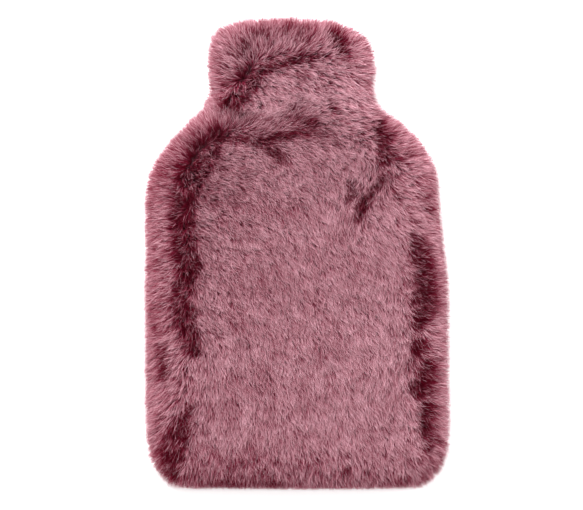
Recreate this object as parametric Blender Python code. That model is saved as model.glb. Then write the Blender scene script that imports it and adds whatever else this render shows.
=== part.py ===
"""Faux fur hot water bottle cover, lying on its back and holding the shape of the bottle inside it.

Metres, +Z up. The origin lies on the resting surface, under the middle of the cover. +Y points to the head,
which covers the bottle's neck and stopper, and +X to the right as seen from above.

The pile is part of each solid: a solid runs from the inside of its cloth to the tips of its pile. The front
panel wraps round the sides and ends in a rim on the resting surface. The two back panels fill that rim. The
lower one rises behind the upper one, which leaves the envelope mouth where the bottle goes in.
"""

import math
from typing import NamedTuple

import bmesh
import bpy
from mathutils import Vector

MM = 0.001


class OutlineRow(NamedTuple):
    """Half of a section across the cover: how far the pile reaches to each side at one height of the front."""

    y: float
    left: float
    right: float


class CrownRow(NamedTuple):
    """Height of the middle of the front above the resting surface, at one place along the cover."""

    y: float
    top: float


class SkirtRow(NamedTuple):
    """One line round the side wall, below its widest line."""

    inset: float
    height: float


class Parting(NamedTuple):
    """A line where the pile falls to both sides and leaves a trough."""

    depth: float
    half_width: float
    course: tuple


class Wave(NamedTuple):
    """One wave of the pile's soft lumps."""

    height: float
    length_x: float
    length_y: float
    phase: float


# Reach of the pile, from the head (+Y) down to the foot (-Y).
OUTLINE = (
    OutlineRow(178.0 * MM, -42.0 * MM, 26.0 * MM),
    OutlineRow(171.0 * MM, -59.0 * MM, 44.5 * MM),
    OutlineRow(160.0 * MM, -65.0 * MM, 54.5 * MM),
    OutlineRow(143.0 * MM, -66.5 * MM, 58.5 * MM),
    OutlineRow(124.0 * MM, -66.0 * MM, 58.5 * MM),
    OutlineRow(113.0 * MM, -69.5 * MM, 62.5 * MM),
    OutlineRow(99.0 * MM, -84.0 * MM, 80.0 * MM),
    OutlineRow(81.0 * MM, -99.0 * MM, 95.5 * MM),
    OutlineRow(62.0 * MM, -110.0 * MM, 105.5 * MM),
    OutlineRow(40.0 * MM, -114.0 * MM, 107.0 * MM),
    OutlineRow(8.0 * MM, -114.8 * MM, 111.5 * MM),
    OutlineRow(-25.0 * MM, -115.5 * MM, 114.8 * MM),
    OutlineRow(-75.0 * MM, -115.2 * MM, 115.0 * MM),
    OutlineRow(-125.0 * MM, -114.8 * MM, 116.0 * MM),
    OutlineRow(-150.0 * MM, -112.5 * MM, 114.5 * MM),
    OutlineRow(-163.0 * MM, -108.0 * MM, 110.0 * MM),
    OutlineRow(-172.5 * MM, -99.5 * MM, 101.5 * MM),
    OutlineRow(-178.5 * MM, -85.0 * MM, 86.0 * MM),
)
HEAD_TOP = Vector((-8.0 * MM, 180.4 * MM))
FOOT_MIDDLE = Vector((0.0, -180.4 * MM))
HEAD_CORNER_ROW = 1
FOOT_CORNER_ROW = 16
CURVE_STEPS = 24

# Height of the front, over the pile.
CROWN = (
    CrownRow(-190.0 * MM, 63.0 * MM),
    CrownRow(-130.0 * MM, 67.5 * MM),
    CrownRow(-40.0 * MM, 71.0 * MM),
    CrownRow(40.0 * MM, 70.5 * MM),
    CrownRow(88.0 * MM, 65.0 * MM),
    CrownRow(112.0 * MM, 59.0 * MM),
    CrownRow(140.0 * MM, 62.0 * MM),
    CrownRow(190.0 * MM, 59.0 * MM),
)
CROWN_FALL = 6.0 * MM
CROWN_HALF_WIDTH = 112.0 * MM
SHOULDER_RADIUS = 36.0 * MM
WIDEST_HEIGHT = 27.0 * MM

# Locks of pile at the rim.
LOCK_REACH = 4.5 * MM
LOCK_REACH_SWING = 1.0 * MM
LOCK_BASE_INSET = 4.5 * MM
LOCK_FALL = 5.0 * MM
LOCK_LEAN = 2.0 * MM
LOCK_TURN = 2.4

# Side wall below the widest line: outside first, then up the inside.
OUTER_SKIRT = (SkirtRow(2.5 * MM, 13.0 * MM), SkirtRow(11.0 * MM, 0.0))
RIM_INSET = 19.0 * MM
INNER_SKIRT = (SkirtRow(17.0 * MM, 10.0 * MM), SkirtRow(15.0 * MM, 27.0 * MM))
INNER_CROWN = 17.0 * MM
INNER_RADIUS = 26.0 * MM

# Grid of the front, closer together towards its edges.
COLUMNS = 36
ROWS = 54
EDGE_WEIGHT = 0.6

PARTINGS = (
    # Down the left side.
    Parting(7.0 * MM, 7.0 * MM, ((-57.0, 93.0), (-77.0, 68.0), (-83.0, 58.0), (-81.0, 42.0), (-83.0, 10.0),
                                 (-76.0, -8.0), (-84.0, -30.0), (-83.0, -62.0), (-78.0, -73.0))),
    Parting(6.0 * MM, 6.0 * MM, ((-89.0, -122.0), (-97.0, -143.0), (-96.0, -166.0))),
    # Round the foot of the neck.
    Parting(5.0 * MM, 6.5 * MM, ((-61.0, 93.0), (-38.0, 92.0), (-17.0, 89.0), (-13.0, 77.0))),
    # Round the head.
    Parting(6.0 * MM, 7.0 * MM, ((-56.0, 112.0), (-43.0, 131.0), (-30.0, 143.0), (-10.0, 149.0), (13.0, 149.0))),
    # Over the right shoulder.
    Parting(6.0 * MM, 7.0 * MM, ((61.0, 96.0), (69.0, 78.0), (68.0, 62.0), (53.0, 43.0), (45.0, 28.0))),
    # Down the right side.
    Parting(7.0 * MM, 7.0 * MM, ((89.0, 14.0), (94.0, -8.0), (95.0, -37.0), (90.0, -66.0), (94.0, -81.0),
                                 (92.0, -96.0), (95.0, -124.0), (101.0, -140.0))),
)
WAVES = (
    Wave(0.7 * MM, 58.0 * MM, 130.0 * MM, 0.4),
    Wave(0.5 * MM, 33.0 * MM, 90.0 * MM, 1.7),
    Wave(0.6 * MM, -140.0 * MM, 85.0 * MM, 3.1),
)

# Back panels, with their pile pressed flat by the weight on it.
BACK_THICKNESS = 8.0 * MM
PANEL_GAP = 0.4 * MM
UPPER_HEM = -10.0 * MM
LOWER_HEM = 44.0 * MM
FLAP_FOOT = -36.0 * MM
FLAP_CREST = -15.0 * MM
FLAP_GAP = 9.0 * MM
FLAP_CUTS = 6
HEM_ROUND = 2.5 * MM
HEM_SEGMENTS = 3

FUR_COLOUR = (0.42, 0.17, 0.22, 1.0)
FUR_ROUGHNESS = 0.75
SMOOTH_ANGLE = math.radians(50.0)


def clear_scene():
    """Removes every object, so that the model starts from nothing."""
    for scene_object in list(bpy.data.objects):
        bpy.data.objects.remove(scene_object, do_unlink=True)


def fur_material(name):
    """Principled material of one panel's pile."""
    material = bpy.data.materials.new(name)
    material.use_nodes = True
    shader = material.node_tree.nodes["Principled BSDF"]
    shader.inputs["Base Color"].default_value = FUR_COLOUR
    shader.inputs["Roughness"].default_value = FUR_ROUGHNESS
    shader.inputs["Metallic"].default_value = 0.0
    return material


def add_object(name, bm):
    """Turns a bmesh into a named object with a material of its own, shaded smooth."""
    mesh = bpy.data.meshes.new(name)
    bm.to_mesh(mesh)
    bm.free()
    mesh.shade_smooth()
    mesh.set_sharp_from_angle(angle=SMOOTH_ANGLE)
    mesh.materials.append(fur_material(name + "_fur"))
    bpy.context.scene.collection.objects.link(bpy.data.objects.new(name, mesh))


def catmull_rom(before, start, end, after, t):
    """Point at t, from 0 to 1, of the smooth curve between start and end."""
    return 0.5 * (
        2.0 * start
        + (end - before) * t
        + (2.0 * before - 5.0 * start + 4.0 * end - after) * t ** 2
        + (3.0 * start - before - 3.0 * end + after) * t ** 3
    )


def edge_weighted(count):
    """Fractions from 0 to 1 that lie closer together towards both ends."""
    return [
        (1.0 - EDGE_WEIGHT) * step / count + EDGE_WEIGHT * (1.0 - math.cos(math.pi * step / count)) / 2.0
        for step in range(count + 1)
    ]


def spread(line, fractions):
    """Points of a polyline at these fractions of its length."""
    lengths = [0.0]
    for start, end in zip(line, line[1:]):
        lengths.append(lengths[-1] + (end - start).length)
    points = []
    piece = 0
    for fraction in fractions:
        wanted = fraction * lengths[-1]
        while piece < len(line) - 2 and lengths[piece + 1] < wanted:
            piece += 1
        share = (wanted - lengths[piece]) / (lengths[piece + 1] - lengths[piece])
        points.append(line[piece].lerp(line[piece + 1], share))
    return points


def outline_loop():
    """Reach of the pile as a loop of points: along the foot, up the right, back along the head, down the left."""
    right = [Vector((row.right, row.y)) for row in reversed(OUTLINE)]
    left = [Vector((row.left, row.y)) for row in OUTLINE]
    knots = right + [HEAD_TOP] + left + [FOOT_MIDDLE]
    count = len(knots)
    curve = []
    for index in range(count):
        corners = [knots[(index + offset) % count] for offset in (-1, 0, 1, 2)]
        curve += [catmull_rom(*corners, step / CURVE_STEPS) for step in range(CURVE_STEPS)]
    foot_right = (len(OUTLINE) - 1 - FOOT_CORNER_ROW) * CURVE_STEPS
    head_right = (len(OUTLINE) - 1 - HEAD_CORNER_ROW) * CURVE_STEPS
    head_left = (len(OUTLINE) + 1 + HEAD_CORNER_ROW) * CURVE_STEPS
    foot_left = (len(OUTLINE) + 1 + FOOT_CORNER_ROW) * CURVE_STEPS
    across, along = edge_weighted(COLUMNS), edge_weighted(ROWS)
    sides = (
        (curve[foot_left:] + curve[:foot_right + 1], across),
        (curve[foot_right:head_right + 1], along),
        (curve[head_right:head_left + 1], across),
        (curve[head_left:foot_left + 1], along),
    )
    loop = []
    for line, fractions in sides:
        loop += spread(line, fractions)[:-1]
    return loop


def inset_loop(loop, amount):
    """The loop moved inwards by an even amount."""
    count = len(loop)
    moved = []
    for index, point in enumerate(loop):
        along = (loop[(index + 1) % count] - loop[index - 1]).normalized()
        moved.append(point + amount * Vector((-along.y, along.x)))
    return moved


def patch(loop, columns, rows):
    """Grid of points inside a four-sided loop, as rows of points from the foot to the head."""
    count = len(loop)
    foot = loop[:columns + 1]
    right = loop[columns:columns + rows + 1]
    head = loop[columns + rows:2 * columns + rows + 1][::-1]
    left = [loop[(count - row) % count] for row in range(rows + 1)]
    across = edge_weighted(columns)
    along = edge_weighted(rows)
    grid = []
    for row, v in enumerate(along):
        line = []
        for column, u in enumerate(across):
            ruled = (1.0 - v) * foot[column] + v * head[column] + (1.0 - u) * left[row] + u * right[row]
            corners = (1.0 - v) * ((1.0 - u) * foot[0] + u * foot[-1]) + v * ((1.0 - u) * head[0] + u * head[-1])
            line.append(ruled - corners)
        grid.append(line)
    return grid


def distance_to_line(point, line):
    """Shortest distance from a point to a polyline."""
    shortest = math.inf
    for start, end in zip(line, line[1:]):
        run = end - start
        share = max(0.0, min(1.0, (point - start).dot(run) / run.length_squared))
        shortest = min(shortest, (point - start - share * run).length)
    return shortest


def crown_height(y):
    """Height of the middle of the front at a place along the cover, between the rows of CROWN."""
    for low, high in zip(CROWN, CROWN[1:]):
        if y <= high.y:
            share = max(0.0, (y - low.y) / (high.y - low.y))
            return low.top + (high.top - low.top) * (1.0 - math.cos(math.pi * share)) / 2.0
    return CROWN[-1].top


def rounded(distance, radius):
    """Share of the full height at a distance from the edge: a quarter round, then level."""
    rest = 1.0 - min(distance / radius, 1.0)
    return math.sqrt(1.0 - rest ** 2)


def pile_relief(point):
    """How much the lumps raise the pile and the partings lower it."""
    relief = 0.0
    for wave in WAVES:
        relief += wave.height * math.sin(
            2.0 * math.pi * (point.x / wave.length_x + point.y / wave.length_y) + wave.phase
        )
    trough = 0.0
    for parting in PARTINGS:
        course = [Vector(place) * MM for place in parting.course]
        distance = distance_to_line(point, course)
        trough = max(trough, parting.depth * math.exp(-((distance / parting.half_width) ** 2)))
    return relief - trough


def outer_height(point, edge):
    """Height of the pile's surface on the front."""
    share = rounded(distance_to_line(point, edge), SHOULDER_RADIUS)
    crown = crown_height(point.y) - CROWN_FALL * (point.x / CROWN_HALF_WIDTH) ** 2
    return WIDEST_HEIGHT + (crown + pile_relief(point) - WIDEST_HEIGHT) * share


def inner_height(point, edge):
    """Height of the inside of the front's cloth."""
    share = rounded(distance_to_line(point, edge), INNER_RADIUS)
    crown = crown_height(point.y) - CROWN_FALL * (point.x / CROWN_HALF_WIDTH) ** 2 - INNER_CROWN
    return WIDEST_HEIGHT + (crown - WIDEST_HEIGHT) * share


def add_sheet(bm, grid, height, edge, upward):
    """Adds a grid of points as a sheet of four-sided faces and returns its rows of vertices."""
    closed_edge = edge + edge[:1]
    rows = [[bm.verts.new((point.x, point.y, height(point, closed_edge))) for point in line] for line in grid]
    for low, high in zip(rows, rows[1:]):
        for column in range(len(low) - 1):
            corners = [low[column], low[column + 1], high[column + 1], high[column]]
            bm.faces.new(corners if upward else corners[::-1])
    return rows


def border(rows):
    """Vertices round the border of a sheet, in the order of outline_loop."""
    right = [line[-1] for line in rows[1:-1]]
    left = [line[0] for line in rows[1:-1]]
    return rows[0] + right + rows[-1][::-1] + left[::-1]


def add_ring(bm, loop, height):
    """Adds a loop of points at one height."""
    return [bm.verts.new((point.x, point.y, height)) for point in loop]


def join_rings(bm, ring, following):
    """Joins two rings that have the same number of points and returns the new faces."""
    count = len(ring)
    return [
        bm.faces.new((following[index], following[(index + 1) % count], ring[(index + 1) % count], ring[index]))
        for index in range(count)
    ]


def join_half_ring(bm, ring, following):
    """Joins a ring to one that has half its points."""
    count = len(following)
    for index in range(count):
        start, middle = ring[2 * index], ring[2 * index + 1]
        end = ring[(2 * index + 2) % len(ring)]
        near, far = following[index], following[(index + 1) % count]
        bm.faces.new((near, far, middle))
        bm.faces.new((far, end, middle))
        bm.faces.new((near, middle, start))


def raise_locks(bm, faces):
    """Draws each face out into a pointed lock of pile. Locks at the sides fall down the cover, and each leans a
    little its own way."""
    bm.normal_update()
    normals = [face.normal.copy() for face in faces]
    tips = bmesh.ops.poke(bm, faces=faces)["verts"]
    for index, (tip, normal) in enumerate(zip(tips, normals)):
        outwards = Vector((normal.x, normal.y, 0.0)).normalized()
        along = Vector((-outwards.y, outwards.x, 0.0))
        turn = LOCK_TURN * index
        tip.co += (LOCK_REACH + LOCK_REACH_SWING * math.sin(turn)) * outwards
        tip.co += LOCK_LEAN * math.cos(turn) * along
        tip.co.y -= LOCK_FALL * (1.0 - abs(outwards.y))


def make_front_panel(loop):
    """The long pile front: its crown, its side wall down to the rim, and the hollow inside."""
    bm = bmesh.new()
    base = inset_loop(loop, LOCK_BASE_INSET)
    outer_rows = add_sheet(bm, patch(base, COLUMNS, ROWS), outer_height, base, upward=True)
    widest = border(outer_rows)
    upper_band = [
        face for index, vertex in enumerate(widest) if index % 2 == 0
        for face in bm.faces if {vertex, widest[(index + 1) % len(widest)]} <= set(face.verts)
    ]
    ring = widest
    bands = []
    for row in OUTER_SKIRT:
        following = add_ring(bm, inset_loop(base, row.inset), row.height)
        bands.append(join_rings(bm, ring, following))
        ring = following
    rim = add_ring(bm, inset_loop(base, RIM_INSET)[::2], 0.0)
    join_half_ring(bm, ring, rim)
    ring = rim
    inner_loop = inset_loop(base, INNER_SKIRT[-1].inset)[::2]
    inner_rows = add_sheet(
        bm, patch(inner_loop, COLUMNS // 2, ROWS // 2), inner_height, inner_loop, upward=False
    )
    for row in INNER_SKIRT[:-1]:
        following = add_ring(bm, inset_loop(base, row.inset)[::2], row.height)
        join_rings(bm, ring, following)
        ring = following
    join_rings(bm, ring, border(inner_rows))
    raise_locks(bm, upper_band + bands[0])
    add_object("front_panel", bm)


def back_blank(loop):
    """Flat blank of the back inside the front's rim, as thick as the pressed pile and its cloth."""
    bm = bmesh.new()
    outline = inset_loop(inset_loop(loop, LOCK_BASE_INSET), RIM_INSET + PANEL_GAP)[::2]
    face = bm.faces.new([bm.verts.new((point.x, point.y, 0.0)) for point in outline[::-1]])
    raised = bmesh.ops.extrude_face_region(bm, geom=[face])
    bmesh.ops.translate(
        bm,
        vec=(0.0, 0.0, BACK_THICKNESS),
        verts=[item for item in raised["geom"] if isinstance(item, bmesh.types.BMVert)],
    )
    return bm


def cut_across(bm, y, keep_above):
    """Cuts the blank across at y, keeps one side and closes the cut."""
    side = 1.0 if keep_above else -1.0
    cut = bmesh.ops.bisect_plane(
        bm,
        geom=bm.verts[:] + bm.edges[:] + bm.faces[:],
        plane_co=(0.0, y, 0.0),
        plane_no=(0.0, side, 0.0),
        clear_inner=True,
    )
    edges = [item for item in cut["geom_cut"] if isinstance(item, bmesh.types.BMEdge)]
    bmesh.ops.holes_fill(bm, edges=edges)


def round_hem(bm, y):
    """Rounds the two long edges of a hem, where the cloth turns over."""
    edges = [
        edge for edge in bm.edges
        if all(abs(vertex.co.y - y) < HEM_ROUND * 0.01 for vertex in edge.verts)
        and abs(edge.verts[0].co.z - edge.verts[1].co.z) < HEM_ROUND * 0.01
    ]
    bmesh.ops.bevel(bm, geom=edges, offset=HEM_ROUND, segments=HEM_SEGMENTS, affect="EDGES", profile=0.5)


def face_outwards(bm):
    """Turns every face of a closed piece outwards."""
    bmesh.ops.recalc_face_normals(bm, faces=bm.faces[:])
    if bm.calc_volume(signed=True) < 0.0:
        bmesh.ops.reverse_faces(bm, faces=bm.faces[:])


def make_back_panel_upper(loop):
    """Upper back: the outer flap, flat on the resting surface."""
    bm = back_blank(loop)
    cut_across(bm, UPPER_HEM, keep_above=True)
    round_hem(bm, UPPER_HEM)
    face_outwards(bm)
    add_object("back_panel_upper", bm)


def make_back_panel_lower(loop):
    """Lower back: flat below, then rising to run as the inner flap behind the upper back."""
    bm = back_blank(loop)
    cut_across(bm, LOWER_HEM, keep_above=False)
    round_hem(bm, LOWER_HEM)
    for step in range(FLAP_CUTS + 1):
        bmesh.ops.bisect_plane(
            bm,
            geom=bm.verts[:] + bm.edges[:] + bm.faces[:],
            plane_co=(0.0, FLAP_FOOT + (FLAP_CREST - FLAP_FOOT) * step / FLAP_CUTS, 0.0),
            plane_no=(0.0, 1.0, 0.0),
        )
    for vertex in bm.verts:
        share = max(0.0, min(1.0, (vertex.co.y - FLAP_FOOT) / (FLAP_CREST - FLAP_FOOT)))
        vertex.co.z += (BACK_THICKNESS + FLAP_GAP) * (1.0 - math.cos(math.pi * share)) / 2.0
    face_outwards(bm)
    add_object("back_panel_lower", bm)


def main():
    """Builds the cover."""
    clear_scene()
    loop = outline_loop()
    make_front_panel(loop)
    make_back_panel_upper(loop)
    make_back_panel_lower(loop)


main()
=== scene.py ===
"""The looks of a faux fur hot water bottle cover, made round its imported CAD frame.

The cover lies on its back, with the head towards +Y. It is made as the real one is: three cut
panels of knitted backing, each with a dense pile of tapered strands growing out of it. The pile
is combed along strokes that were read off the real thing, and where two neighbouring strokes
turn away from each other the pile parts and shows its dark roots.

Lengths in the sizes below are in millimetres. MM turns them to metres where a mesh is made.
"""

from __future__ import annotations

import logging
import math
from dataclasses import dataclass, field
from enum import Enum
from functools import partial
from typing import Any, Callable, Iterable, NamedTuple

import bpy
import numpy as np
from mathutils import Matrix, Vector
from mathutils.geometry import delaunay_2d_cdt

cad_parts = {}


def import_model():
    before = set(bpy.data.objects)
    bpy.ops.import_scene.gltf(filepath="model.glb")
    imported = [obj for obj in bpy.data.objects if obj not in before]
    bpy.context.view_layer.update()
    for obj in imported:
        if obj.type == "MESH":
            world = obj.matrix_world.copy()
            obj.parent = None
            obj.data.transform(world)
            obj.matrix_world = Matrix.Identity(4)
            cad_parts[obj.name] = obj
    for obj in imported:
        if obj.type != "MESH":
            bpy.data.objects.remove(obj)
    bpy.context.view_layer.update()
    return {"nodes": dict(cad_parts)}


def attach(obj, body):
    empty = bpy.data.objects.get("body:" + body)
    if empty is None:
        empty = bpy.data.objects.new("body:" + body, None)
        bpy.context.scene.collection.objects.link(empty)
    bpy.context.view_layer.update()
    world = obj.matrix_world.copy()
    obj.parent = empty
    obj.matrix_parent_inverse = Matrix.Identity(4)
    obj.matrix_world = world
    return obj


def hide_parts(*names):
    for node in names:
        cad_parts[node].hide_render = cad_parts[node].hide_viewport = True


LOG = logging.getLogger("hot_water_bottle_cover")

MM = 0.001
BAKE_MAP = "OFBake"  # the UV map that runs along each strand: across is its tone, up is root to tip
EVERYWHERE = (-400.0, 400.0)  # a band of y that holds the whole cover


class Slot(str, Enum):
    """The record's material slots."""

    FUR = "faux_fur"
    BACKING = "fur_backing"


# ---- Small helpers ----


def linear(hex_colour: str) -> tuple[float, float, float, float]:
    """Turns an sRGB hex colour, such as "#7A3B4C", to the linear RGBA that shaders use."""
    values = [int(hex_colour[i : i + 2], 16) / 255 for i in (1, 3, 5)]
    return (*[v / 12.92 if v <= 0.04045 else ((v + 0.055) / 1.055) ** 2.4 for v in values], 1.0)


def first_output(value: Any) -> Any:
    """Returns a node's first live output, and anything else as it is."""
    is_node = isinstance(value, bpy.types.Node)
    return next(socket for socket in value.outputs if socket.enabled) if is_node else value


def add_node(tree: bpy.types.NodeTree, kind: str, *inputs: Any, **settings: Any) -> bpy.types.Node:
    """Adds a node to a tree, with its settings, its values and its links.

    Args:
        tree: The tree that gets the node.
        kind: The node's type name.
        *inputs: What goes into its sockets: values, sockets or nodes in the sockets' order, or
            one dict of them by the socket's name or number.
        **settings: The node's own properties.

    Returns:
        The new node.
    """
    node = tree.nodes.new(kind)
    for name, value in settings.items():
        setattr(node, name, value)
    by_name = inputs[0] if inputs and isinstance(inputs[0], dict) else dict(enumerate(inputs))
    for key, value in by_name.items():
        if isinstance(key, int):
            socket = node.inputs[key]
        else:
            socket = next(s for s in node.inputs if s.enabled and s.name == key)
        value = first_output(value)
        if isinstance(value, bpy.types.NodeSocket):
            tree.links.new(value, socket)
        else:
            socket.default_value = value
    return node


def smooth_step(low: float, high: float, values: np.ndarray) -> np.ndarray:
    """Eases from 0 at low to 1 at high, which may lie below low."""
    share = np.clip((values - low) / (high - low), 0, 1)
    return share * share * (3 - 2 * share)


def new_mesh(name: str, points: np.ndarray, faces: Iterable[Iterable[int]]) -> bpy.types.Object:
    """Makes a smooth mesh object at the origin.

    Args:
        name: The object's name.
        points: Its vertices, in millimetres.
        faces: Its faces, as vertex numbers.

    Returns:
        The object, linked to the scene.
    """
    mesh = bpy.data.meshes.new(name)
    mesh.from_pydata([tuple(p) for p in points * MM], [], [tuple(f) for f in faces])
    mesh.validate()
    mesh.polygons.foreach_set("use_smooth", [True] * len(mesh.polygons))
    return linked(name, mesh)


def linked(name: str, data: bpy.types.ID) -> bpy.types.Object:
    """Makes an object of a mesh, a light or a camera.

    Args:
        name: The object's name.
        data: What it is made of.

    Returns:
        The object, linked to the scene.
    """
    made = bpy.data.objects.new(name, data)
    bpy.context.scene.collection.objects.link(made)
    return made


# ---- The cover's form ----


@dataclass(frozen=True)
class Outline:
    """The cover's outline from above, out to the tips of the pile.

    Attributes:
        rows: Rows of y, the left edge and the right edge, from the head to the foot.
        head_top: The middle of the head's top edge.
        foot_middle: The middle of the foot's edge.
        spacing: The distance between the loop's points.
        steps: How many steps the curve between two of the places above is drawn in.
    """

    rows: tuple[tuple[float, float, float], ...] = (
        (178, -44, 27.5), (171, -60.5, 46.5), (160, -66, 56.5), (143, -67, 59.5), (124, -66, 58.5),
        (113, -69.5, 62.5), (99, -84.5, 82), (81, -100.5, 98.5), (62, -111.5, 107), (40, -115, 108.5),
        (8, -114.8, 111.5), (-25, -115.5, 114.8), (-75, -115.2, 115), (-125, -114.8, 116),
        (-150, -112.5, 114.5), (-163, -108, 110), (-172.5, -99.5, 101.5), (-178.5, -85, 86),
    )  # fmt: skip
    head_top: tuple[float, float] = (-8, 180.4)
    foot_middle: tuple[float, float] = (0, -180.4)
    spacing: float = 2.6
    steps: int = 24

    def loop(self) -> np.ndarray:
        """Draws the outline as one smooth closed loop.

        Returns:
            Its evenly spaced points, anticlockwise.
        """
        left = [(x, y) for y, x, _ in self.rows]
        right = [(x, y) for y, _, x in reversed(self.rows)]
        knots = np.array([self.head_top, *left, self.foot_middle, *right], float)
        steps = np.linspace(0, 1, self.steps, endpoint=False)[:, None]
        curve = []
        for i in range(len(knots)):
            a, b, c, d = (knots[(i + k) % len(knots)] for k in (-1, 0, 1, 2))
            curve.append(
                b
                + 0.5 * steps * (c - a)
                + steps**2 * (a - 2.5 * b + 2 * c - 0.5 * d)
                + 0.5 * steps**3 * (3 * b - 3 * c + d - a)
            )
        return evenly(np.vstack(curve), self.spacing)


def evenly(loop: np.ndarray, spacing: float) -> np.ndarray:
    """Spaces a closed loop's points evenly.

    Args:
        loop: The loop's points.
        spacing: The distance wanted between two of them.

    Returns:
        The new points.
    """
    closed = np.vstack([loop, loop[:1]])
    along = np.concatenate([[0], np.cumsum(np.linalg.norm(np.diff(closed, axis=0), axis=1))])
    stops = np.linspace(0, along[-1], int(along[-1] / spacing), endpoint=False)
    return np.stack([np.interp(stops, along, closed[:, k]) for k in range(2)], axis=1)


def inset(loop: np.ndarray, depth: float, ease_every: float = 3.0) -> np.ndarray:
    """Moves an anticlockwise loop inwards, point by point, and eases its tight corners.

    Args:
        loop: The loop's points.
        depth: How far inwards.
        ease_every: The depth after which the corners are eased once more.

    Returns:
        As many points as the loop has.
    """
    tangent = np.roll(loop, -2, axis=0) - np.roll(loop, 2, axis=0)
    tangent /= np.linalg.norm(tangent, axis=1, keepdims=True)
    moved = loop + depth * np.stack([-tangent[:, 1], tangent[:, 0]], axis=1)
    for _ in range(int(depth / ease_every)):
        moved = 0.5 * moved + 0.25 * (np.roll(moved, 1, axis=0) + np.roll(moved, -1, axis=0))
    return moved


def depth_inside(points: np.ndarray, loop: np.ndarray) -> np.ndarray:
    """Measures how far points lie inside a closed loop.

    Args:
        points: The points, as rows of x and y.
        loop: The loop's points, anticlockwise.

    Returns:
        Each point's distance to the loop, negative outside.
    """
    start, end = loop, np.roll(loop, -1, axis=0)
    run = end - start
    depths = np.empty(len(points))
    for i, point in enumerate(points):
        share = np.clip(((point - start) * run).sum(1) / (run**2).sum(1), 0, 1)
        away = np.linalg.norm(start + share[:, None] * run - point, axis=1)
        over = (start[:, 1] > point[1]) != (end[:, 1] > point[1])
        cross = start[:, 0] + (point[1] - start[:, 1]) / np.where(over, run[:, 1], 1) * run[:, 0]
        depths[i] = away.min() * (1 if np.count_nonzero(over & (cross > point[0])) % 2 else -1)
    return depths


# ---- The groom ----


class Parting(NamedTuple):
    """A line where the pile parts.

    Attributes:
        opening: How far it opens, from 0 to 1.
        course: The places that it goes through, each as x, y and the half width there.
    """

    opening: float
    course: tuple[tuple[float, float, float], ...]
    EDGE = (1.1, 0.3)  # how many half widths from its middle it closes, and is whole

    def openness(self, points: np.ndarray) -> np.ndarray:
        """Works out how far the pile is open at points.

        Args:
            points: Rows of x and y.

        Returns:
            Each point's share, from 0, closed, to the parting's opening.
        """
        openness = np.zeros(len(points))
        for start, end in zip(np.array(self.course[:-1]), np.array(self.course[1:])):
            run = (end - start)[:2]
            share = np.clip(((points - start[:2]) @ run) / (run @ run), 0, 1)
            away = np.linalg.norm(points - start[:2] - share[:, None] * run, axis=1)
            half_width = start[2] + share * (end[2] - start[2])
            openness = np.maximum(openness, smooth_step(*self.EDGE, away / half_width))
        return self.opening * openness


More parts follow.
